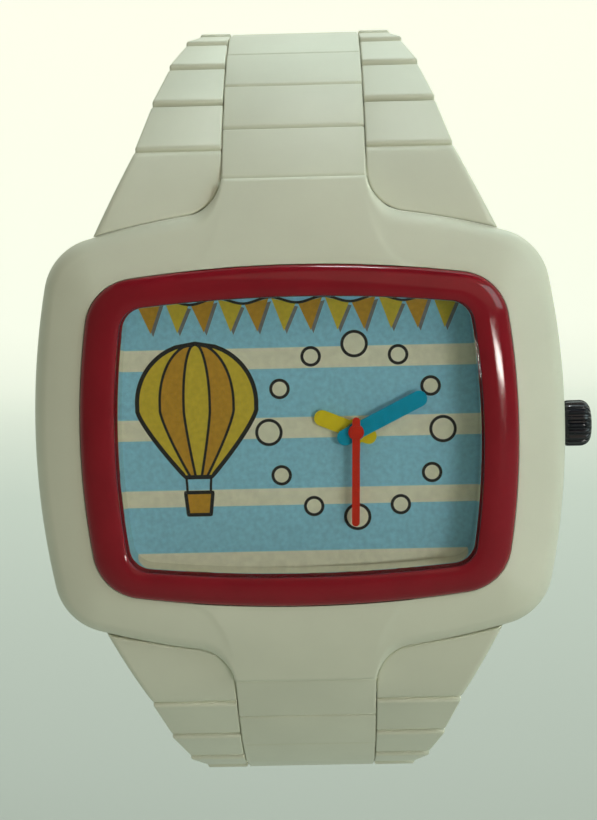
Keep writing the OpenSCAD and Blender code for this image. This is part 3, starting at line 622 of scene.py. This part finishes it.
def clasp_tube(at, r, bore, x0, x1, n=40):
    """Knuckle along x with a bore and rounded edges."""
    y, z = at[1]*math.sin(at[0]), CLASP_Z - at[1]*math.cos(at[0])
    a = np.linspace(0, 2*math.pi, n, endpoint=False)
    sec = [(x0, bore), (x0, r - 0.12), (x0 + 0.04, r - 0.04), (x0 + 0.12, r)]
    sec += [(x1 - 0.12, r), (x1 - 0.04, r - 0.04), (x1, r - 0.12), (x1, bore)]
    return loft([np.column_stack([np.full(n, x), y + q*np.cos(a), z + q*np.sin(a)]) for x, q in sec],
                closed=True)


def rounded_box(x0, x1, lo, hi, r):
    p = arc_pts(x1 - r, lo + r, r, -90, 0, 4) + arc_pts(x1 - r, hi - r, r, 0, 90, 4)
    return p + arc_pts(x0 + r, hi - r, r, 90, 180, 4) + arc_pts(x0 + r, lo + r, r, 180, 270, 4)


def lined_top(w, hi, r=0.4):
    """Outer face from the right edge to the left, with two lines that carry the bracelet's columns on."""
    right = arc_pts(w - r, hi - r, r, 0, 90, 6)
    right += [(GROOVE_X + dx, hi - dz) for dx, dz in GROOVE]
    return right + [(-x, z) for x, z in right[::-1]]


def clasp_ears(turn, to):
    """Two ears with a knuckle at one turn, each on a bar that runs to the other turn."""
    at, near, parts = (turn, CLASP_R), 0.75/CLASP_R, []
    lo, hi = min(turn, to), max(turn, to)
    lo, hi = lo + near*(turn == lo), hi - near*(turn == hi)
    for sx in (-1, 1):
        x0, x1 = sorted((sx*(LUG_W/2 + 0.15), sx*CLASP_W/2))
        parts.append(clasp_tube(at, EAR_R, EAR_BORE, x0, x1))
        parts.append(clasp_sweep(rounded_box(x0, x1, CLASP_R - 0.8, CLASP_R + 0.8, 0.15), lo, hi, 0.05, 6))
    return parts


def clasp_cover():
    """Hollow cover whose walls reach down over the blades."""
    w, lo, hi = CLASP_W/2, CLASP_R + COVER_IN, CLASP_R + COVER_OUT
    start, stop = (EAR_L + COVER_GAP)/CLASP_R - CLASP_TURN, HINGE_HIGH[0]
    foot = arc_pts(w - 0.2, CLASP_R - 0.5, 0.2, -90, 0, 4)
    heel = arc_pts(w - 0.7, CLASP_R - 0.5, 0.2, 180, 270, 4)
    left = [(-x, z) for x, z in foot[::-1]] + [(-x, z) for x, z in heel[::-1]]
    roof = [(-w + COVER_WALL, lo), (w - COVER_WALL, lo)]
    parts = [clasp_sweep(foot + lined_top(w, hi) + left + roof + heel, start, stop, 0.3)]
    for sx in (-1, 1):
        x0, x1 = sorted((sx*(w - COVER_WALL), sx*w))
        parts.append(clasp_tube(HINGE_HIGH, COVER_KNUCKLE_R, HINGE_BORE, x0, x1))
    return parts + clasp_ears(-CLASP_TURN, start + 0.8/CLASP_R)


def clasp_base():
    """Catch across the bracelet's end, and a blade that runs to the low hinge."""
    w, lo, hi = CLASP_W/2, CLASP_R - BLADE_IN, CLASP_R + BASE_OUT
    start, stop = CLASP_TURN - (EAR_L + CATCH_L)/CLASP_R, CLASP_TURN - EAR_L/CLASP_R
    under = arc_pts(-w + 0.2, lo + 0.1, 0.2, 180, 270, 4) + arc_pts(w - 0.2, lo + 0.1, 0.2, -90, 0, 4)
    parts = [clasp_sweep(lined_top(w, hi) + under, start, stop, 0.3, 8)]
    low = HINGE_LOW[0]
    blade = rounded_box(-BLADE_W/2, BLADE_W/2, lo, lo + BLADE_T, 0.15)
    tongue = rounded_box(-2.6, 2.6, lo, lo + BLADE_T, 0.1)
    parts.append(clasp_sweep(blade, low + 1.3/CLASP_R, (start + stop)/2, 0.1, 40))
    parts.append(clasp_tube(HINGE_LOW, BASE_KNUCKLE_R, HINGE_BORE, -KNUCKLE_W/2, KNUCKLE_W/2))
    parts.append(clasp_sweep(tongue, low - 0.1/CLASP_R, low + 1.7/CLASP_R, 0.05, 6))
    return parts + clasp_ears(CLASP_TURN, stop - 0.5/CLASP_R)


piece("clasp_cover_shell", clasp_cover(), STEEL, "clasp_cover", ["clasp_cover"], 35)
piece("clasp_base_shell", clasp_base(), STEEL, "clasp_base", ["clasp_base"], 35)


# Crown: ribbed side, rounded outer end, narrow neck
def crown_shell():
    th = np.linspace(0, 2*math.pi, 320, endpoint=False)
    ribs, rib_depth = 20, 0.17
    rib = np.clip(np.cos(ribs*th)*1.6, -1, 1)*0.5 + 0.5
    # Each row is the place along the crown, the radius and how deep the ribs are there
    prof = [(0.0, 0.62, 0), (0.0, 1.3, 0), (0.45, 1.33, 0), (0.56, 1.5, 0.1), (0.7, 1.77, 0.5)]
    prof += [(0.86, 1.9, 0.9), (1.0, 1.94, 1)]
    prof += [(1.0 + 1.1*k, CROWN_R, 1) for k in (0.2, 0.4, 0.6, 0.8, 1.0)]
    prof += [(CROWN_L - 0.93 + CROWN_END_R*math.sin(b), CROWN_R - CROWN_END_R + CROWN_END_R*math.cos(b),
              max(0, math.cos(b)*1.25 - 0.25)) for b in np.linspace(0.15, math.pi/2, 12)]
    prof += [(CROWN_L - 0.02, 0.8, 0), (CROWN_L - 0.008, 0.45, 0), (CROWN_L, 0.05, 0)]
    rings = []
    for x, r, g in prof:
        rr = r - rib_depth*g*(1 - rib)
        rings.append(np.column_stack([np.full(len(th), CROWN_X + x), rr*np.cos(th), STEM_Z + rr*np.sin(th)]))
    return loft(rings)


piece("crown_knob", [crown_shell()], BLACK, "crown", ["crown"], 35)


# Dial print: stripes, hour circles, and a plain balloon and pennants, in layers of ink over the dial
INK_FROM = 0.002
STRIPE_H, SPOT_H, CIRCLE_H, SHADE_H = 0.006, 0.022, 0.027, 0.010
FILL_H, PENNANT_H, RIB_H, LINE_H = 0.012, 0.014, 0.019, 0.020


def flat(points, z):
    """A layer of ink: a closed prism that stands z over the dial."""
    p = np.array(points, float)
    n = len(p)
    v = np.concatenate([np.column_stack([p, np.full(n, DIAL_Z + h)]) for h in (INK_FROM, z)])
    f = [tuple(range(n - 1, -1, -1)), tuple(range(n, 2*n))]
    return v, f + [(i, (i + 1) % n, n + (i + 1) % n, n + i) for i in range(n)]


def ribbon(points, w, z, closed=True):
    """A line of ink of width w, closed or open."""
    p = np.array(points, float)
    if closed:
        t = np.roll(p, -1, 0) - np.roll(p, 1, 0)
    else:
        t = np.gradient(p, axis=0)
    t /= np.linalg.norm(t, axis=1)[:, None]
    nrm = np.column_stack([-t[:, 1], t[:, 0]])*w/2
    n = len(p)
    corners = ((1, INK_FROM), (1, z), (-1, z), (-1, INK_FROM))
    rows = [np.column_stack([p + k*nrm, np.full(n, DIAL_Z + h)]) for k, h in corners]
    f = [(a*n + i, a*n + (i + 1) % n, b*n + (i + 1) % n, b*n + i)
         for a, b in ((0, 1), (1, 2), (2, 3), (3, 0)) for i in range(n if closed else n - 1)]
    if not closed:
        f += [(0, n, 2*n, 3*n), (4*n - 1, 3*n - 1, 2*n - 1, n - 1)]
    return np.concatenate(rows), f


def circle(x, y, r, n=48):
    return [(x + r*math.cos(2*math.pi*k/n), y + r*math.sin(2*math.pi*k/n)) for k in range(n)]


STRIPES = [(7.12, 11.9), (1.25, 5.35), (-4.75, -0.52), (-10.1, -6.18)]
STRIPE_X = 15.3
stripes = [flat([(-STRIPE_X, lo), (STRIPE_X, lo), (STRIPE_X, hi), (-STRIPE_X, hi)], STRIPE_H)
           for lo, hi in STRIPES]
piece("dial_stripes", stripes, BLUE, "head")

HOURS_R, LARGE_R, SMALL_R, CIRCLE_W = 7.3, 1.15, 0.86, 0.25
rings, spots = [], []
for h in range(12):
    r = LARGE_R if h % 3 == 0 else SMALL_R
    a = math.radians(90 - 30*h)
    x, y = HAND_X + HOURS_R*math.cos(a), HOURS_R*math.sin(a)
    spots.append(flat(circle(x, y, r - 0.1), SPOT_H))
    rings.append(ribbon(circle(x, y, r - CIRCLE_W/2), CIRCLE_W, CIRCLE_H))
piece("hour_spots", spots, CREAM, "head")
piece("hour_circles", rings, INK, "head")

# Balloon at the left, pennants along the top
BX, BY, BR, BALLOON_H = -8.6, 2.6, 5.0, 2.25
STRING_Y, STRING_X, SAG, SAG_TURN = 11.1, 14.6, 0.25, 1.41
PENNANT_X, PENNANT_FOOT, PENNANTS = 13.4, 8.5, 12
OUTLINE_W, SEAM_LINE_W = 0.36, 0.22


def gore(k0, k1, n=40):
    """Part of the balloon between two meridians, given as shares of its half width."""
    pts = []
    for k, order in ((k0, range(n + 1)), (k1, range(n, -1, -1))):
        for j in order:
            u = j/n
            y = BY + BR - (BR*BALLOON_H)*u
            if u < 0.5:
                wide = BR*math.sqrt(max(0.0, 1 - ((BY + BR - y)/BR - 1)**2))
            else:
                g = (u - 0.5)/0.5
                wide = BR*(1 - 0.76*g**1.25 - 0.02*g)
            pts.append((BX + k*wide, y))
    return pts


cuts = [-1, -0.62, -0.22, 0.22, 0.62, 1]
gold, amber, lines = [], [], []
for k in range(5):
    (gold if k % 2 == 0 else amber).append(flat(gore(cuts[k], cuts[k + 1]), FILL_H))
side_line = gore(-1, 1)
lines.append(ribbon(side_line, OUTLINE_W, LINE_H))
half = len(side_line)//2
for k in cuts[1:-1]:
    lines.append(ribbon(gore(k, k)[:half], SEAM_LINE_W, RIB_H, closed=False))
foot = BY + BR - BR*BALLOON_H
basket = [(BX - 1.15, foot - 1.3), (BX + 1.15, foot - 1.3), (BX + 0.95, foot - 3.2), (BX - 0.95, foot - 3.2)]
amber.append(flat(basket[::-1], FILL_H))
rim = [tuple(np.array(basket[i])*(1 - t) + np.array(basket[(i + 1) % 4])*t)
       for i in range(4) for t in (0.0, 0.05, 0.5, 0.95)]
lines.append(ribbon(rim, 0.3, LINE_H))
for sx in (-1, 1):
    rope = [(BX + sx*1.05, foot), (BX + sx*1.0, foot - 0.7), (BX + sx*0.98, foot - 1.3)]
    lines.append(ribbon(rope, 0.2, RIB_H, closed=False))


def hang(x):
    """Height of the string that the pennants hang from."""
    return STRING_Y - SAG*math.cos(x*SAG_TURN)


pennants_a, pennants_b, shade = [], [], []
xs = np.linspace(-PENNANT_X, PENNANT_X, PENNANTS + 1)
for k in range(PENNANTS):
    x0, x1 = xs[k] + 0.12, xs[k + 1] - 0.12
    tri = [(x0, hang(x0) - 0.1), (x1, hang(x1) - 0.1), ((x0 + x1)/2, PENNANT_FOOT)]
    (pennants_a if k % 2 else pennants_b).append(flat(tri[::-1], PENNANT_H))
    shade.append(flat([(x + 0.22, y - 0.25) for x, y in tri[::-1]], SHADE_H))
string = [(x, hang(x)) for x in np.linspace(-STRING_X, STRING_X, 90)]
lines.append(ribbon(string, SEAM_LINE_W, LINE_H, closed=False))
piece("print_gold", gold + pennants_a, GOLD, "head")
piece("print_amber", amber + pennants_b, AMBER, "head")
piece("print_shade", shade, SLATE, "head")
piece("print_lines", lines, INK, "head")

# CAD pieces that stay, with their finishes
KEEP = {"dial": CREAM, "case_back": STEEL, "case_back_gasket": RUBBER, "case_back_screws": SCREW,
        "movement_holder": IVORY, "main_plate": IVORY, "circuit_board": BOARD, "motor_coil": COPPER,
        "battery": STEEL, "hour_hand": YELLOW, "hour_wheel": BRASS, "minute_hand": TEAL,
        "minute_wheel": BRASS, "second_hand": SECOND, "second_arbor": STEEL, "stem": STEEL,
        "crown_seal": RUBBER, "end_link_pins": STEEL, "clasp_middle": STEEL, "clasp_hinge_pins": STEEL}
KEEP.update({f"{s}_pin_{i}": STEEL for s in ("upper", "lower") for i in range(1, LINKS)})
for name, m in KEEP.items():
    me = nodes[name].data
    me.materials.clear()
    me.materials.append(m)

# Pale round floor that runs up into a wall, with painted light: its glow and colour grow lighter towards the
# back and stand in for the bright room behind
# It lies under the reach of the opened bracelet, as the watch is held up in the photograph
FLOOR_GAP = 3
FLOOR_Z = -(LUG_PIN[0] + LINKS*PITCH*math.cos(slope(0)) + FLOOR_GAP)*MM
FLOOR_R, COVE_R, WALL_H = 0.7, 0.35, 1.6


def backdrop():
    prof = [(0.00002, 0.0), (0.1, 0.0), (0.3, 0.0), (FLOOR_R, 0.0)]
    prof += [(FLOOR_R + COVE_R*math.sin(b), COVE_R*(1 - math.cos(b)))
             for b in np.linspace(0.1, math.pi/2, 16)]
    prof += [(FLOOR_R + COVE_R, WALL_H/2), (FLOOR_R + COVE_R, WALL_H)]
    turn = np.linspace(0, 2*math.pi, 97)
    v = [(r*math.cos(a), r*math.sin(a), FLOOR_Z + z) for a in turn for r, z in prof]
    me = bpy.data.meshes.new("backdrop")
    me.from_pydata(v, [], sheet_faces(len(turn), len(prof)))
    me.shade_smooth()
    ob = bpy.data.objects.new("backdrop", me)
    bpy.context.scene.collection.objects.link(ob)
    m, t, out = node_tree("backdrop_mat")
    sh = t.nodes.new("ShaderNodeBsdfPrincipled")
    sh.inputs["Roughness"].default_value = 0.85
    sh.inputs["Specular IOR Level"].default_value = 0.2
    co = t.nodes.new("ShaderNodeTexCoord")
    sep = t.nodes.new("ShaderNodeSeparateXYZ")
    t.links.new(co.outputs["Object"], sep.inputs["Vector"])
    rise = t.nodes.new("ShaderNodeMapRange")
    rise.inputs["From Min"].default_value = -1.0
    rise.inputs["From Max"].default_value = 1.0
    t.links.new(sep.outputs["Y"], rise.inputs["Value"])
    # Base colour runs lighter towards the back, part of the painted light of the room
    base = [(0.0, (0.30, 0.32, 0.29)), (0.552, (0.22, 0.24, 0.22)), (0.685, (0.32, 0.35, 0.32)),
            (1.0, (0.60, 0.61, 0.56))]
    t.links.new(ramp(t, rise.outputs["Result"], base), sh.inputs["Base Color"])
    # Painted light: the floor and wall glow though they are no lamp, brighter towards the back, and this glow
    # also lights the watch from below
    painted_glow = [(0.0, (0.05, 0.048, 0.04)), (0.42, (0.088, 0.088, 0.07)), (0.552, (0.28, 0.318, 0.275)),
            (0.685, (0.33, 0.375, 0.325)), (0.842, (0.50, 0.54, 0.47)), (0.907, (0.66, 0.68, 0.59)),
            (1.0, (0.72, 0.72, 0.61))]
    t.links.new(ramp(t, rise.outputs["Result"], painted_glow), sh.inputs["Emission Color"])
    sh.inputs["Emission Strength"].default_value = 1.0
    t.links.new(sh.outputs["BSDF"], out.inputs["Surface"])
    me.materials.append(m)


backdrop()

# Camera at the photograph's angle, in degrees and metres
# The tilt from the line to the centre is given in pixels of the photograph, with the lens in the same pixels
LENS, ELEVATION, AZIMUTH, DISTANCE, ROLL = 80.6, 6.7, 1.0, 0.150, -1.4
TILT_PIXELS, LENS_PIXELS = 27.5, 1837
cam_data = bpy.data.cameras.new("camera")
cam = bpy.data.objects.new("camera", cam_data)
bpy.context.scene.collection.objects.link(cam)
cam_data.sensor_fit = "AUTO"
cam_data.sensor_width = 36
cam_data.lens = LENS
cam_data.clip_start, cam_data.clip_end = 0.01, 20
el, az = math.radians(ELEVATION), math.radians(AZIMUTH)
centre = Vector((0, -0.010, 0))
away = Vector((math.sin(az)*math.cos(el), -math.cos(az)*math.cos(el), math.sin(el)))
cam.location = centre + DISTANCE*away
pitch = el - math.atan(TILT_PIXELS/LENS_PIXELS)
look = Vector((-math.sin(az)*math.cos(pitch), math.cos(az)*math.cos(pitch), -math.sin(pitch)))
turn = look.to_track_quat("-Z", "Y").to_matrix() @ Matrix.Rotation(math.radians(ROLL), 3, "Z")
cam.rotation_mode = "QUATERNION"
cam.rotation_quaternion = turn.to_quaternion()
bpy.context.scene.camera = cam


# Light: a bright room behind and above, softer from the front
def area(name, loc, target, size, power, col, sy=None, spread=180):
    d = bpy.data.lights.new(name, "AREA")
    d.shape = "RECTANGLE"
    d.size, d.size_y = size, sy or size
    d.energy = power
    d.spread = math.radians(spread)
    d.color = col
    o = bpy.data.objects.new(name, d)
    o.location = loc
    o.rotation_mode = "QUATERNION"
    o.rotation_quaternion = (Vector(target) - Vector(loc)).to_track_quat("-Z", "Y")
    bpy.context.scene.collection.objects.link(o)


area("top_light", (0.10, 0.28, 0.46), (0, 0, 0), 0.4, 0.75, (0.74, 1.0, 0.97))
area("front_light", (0.27, -0.47, 0.37), (0, 0, 0), 0.7, 0.80, (1.0, 0.75, 0.56))
area("window_light", (0.22, -0.41, -0.014), (0.012, -0.01, 0.006), 0.15, 0.0112, (1.0, 0.98, 0.90),
     0.018, 30)
area("side_light", (0.42, -0.22, 0.25), (0, 0, 0), 0.3, 0.90, (0.74, 1.0, 1.0))
area("strip_light", (0.031, 0.08, 0.50), (0.005, -0.01, 0.014), 0.057, 0.24, (0.96, 1.0, 1.0), 0.03)
world = bpy.data.worlds.new("room")
bpy.context.scene.world = world
world.use_nodes = True
world.node_tree.nodes["Background"].inputs["Color"].default_value = (1.0, 1.0, 0.94, 1)
world.node_tree.nodes["Background"].inputs["Strength"].default_value = 0.08
vs = bpy.context.scene.view_settings
vs.view_transform = "Standard"
vs.look = "None"
vs.exposure, vs.gamma = 0.0, 1.0
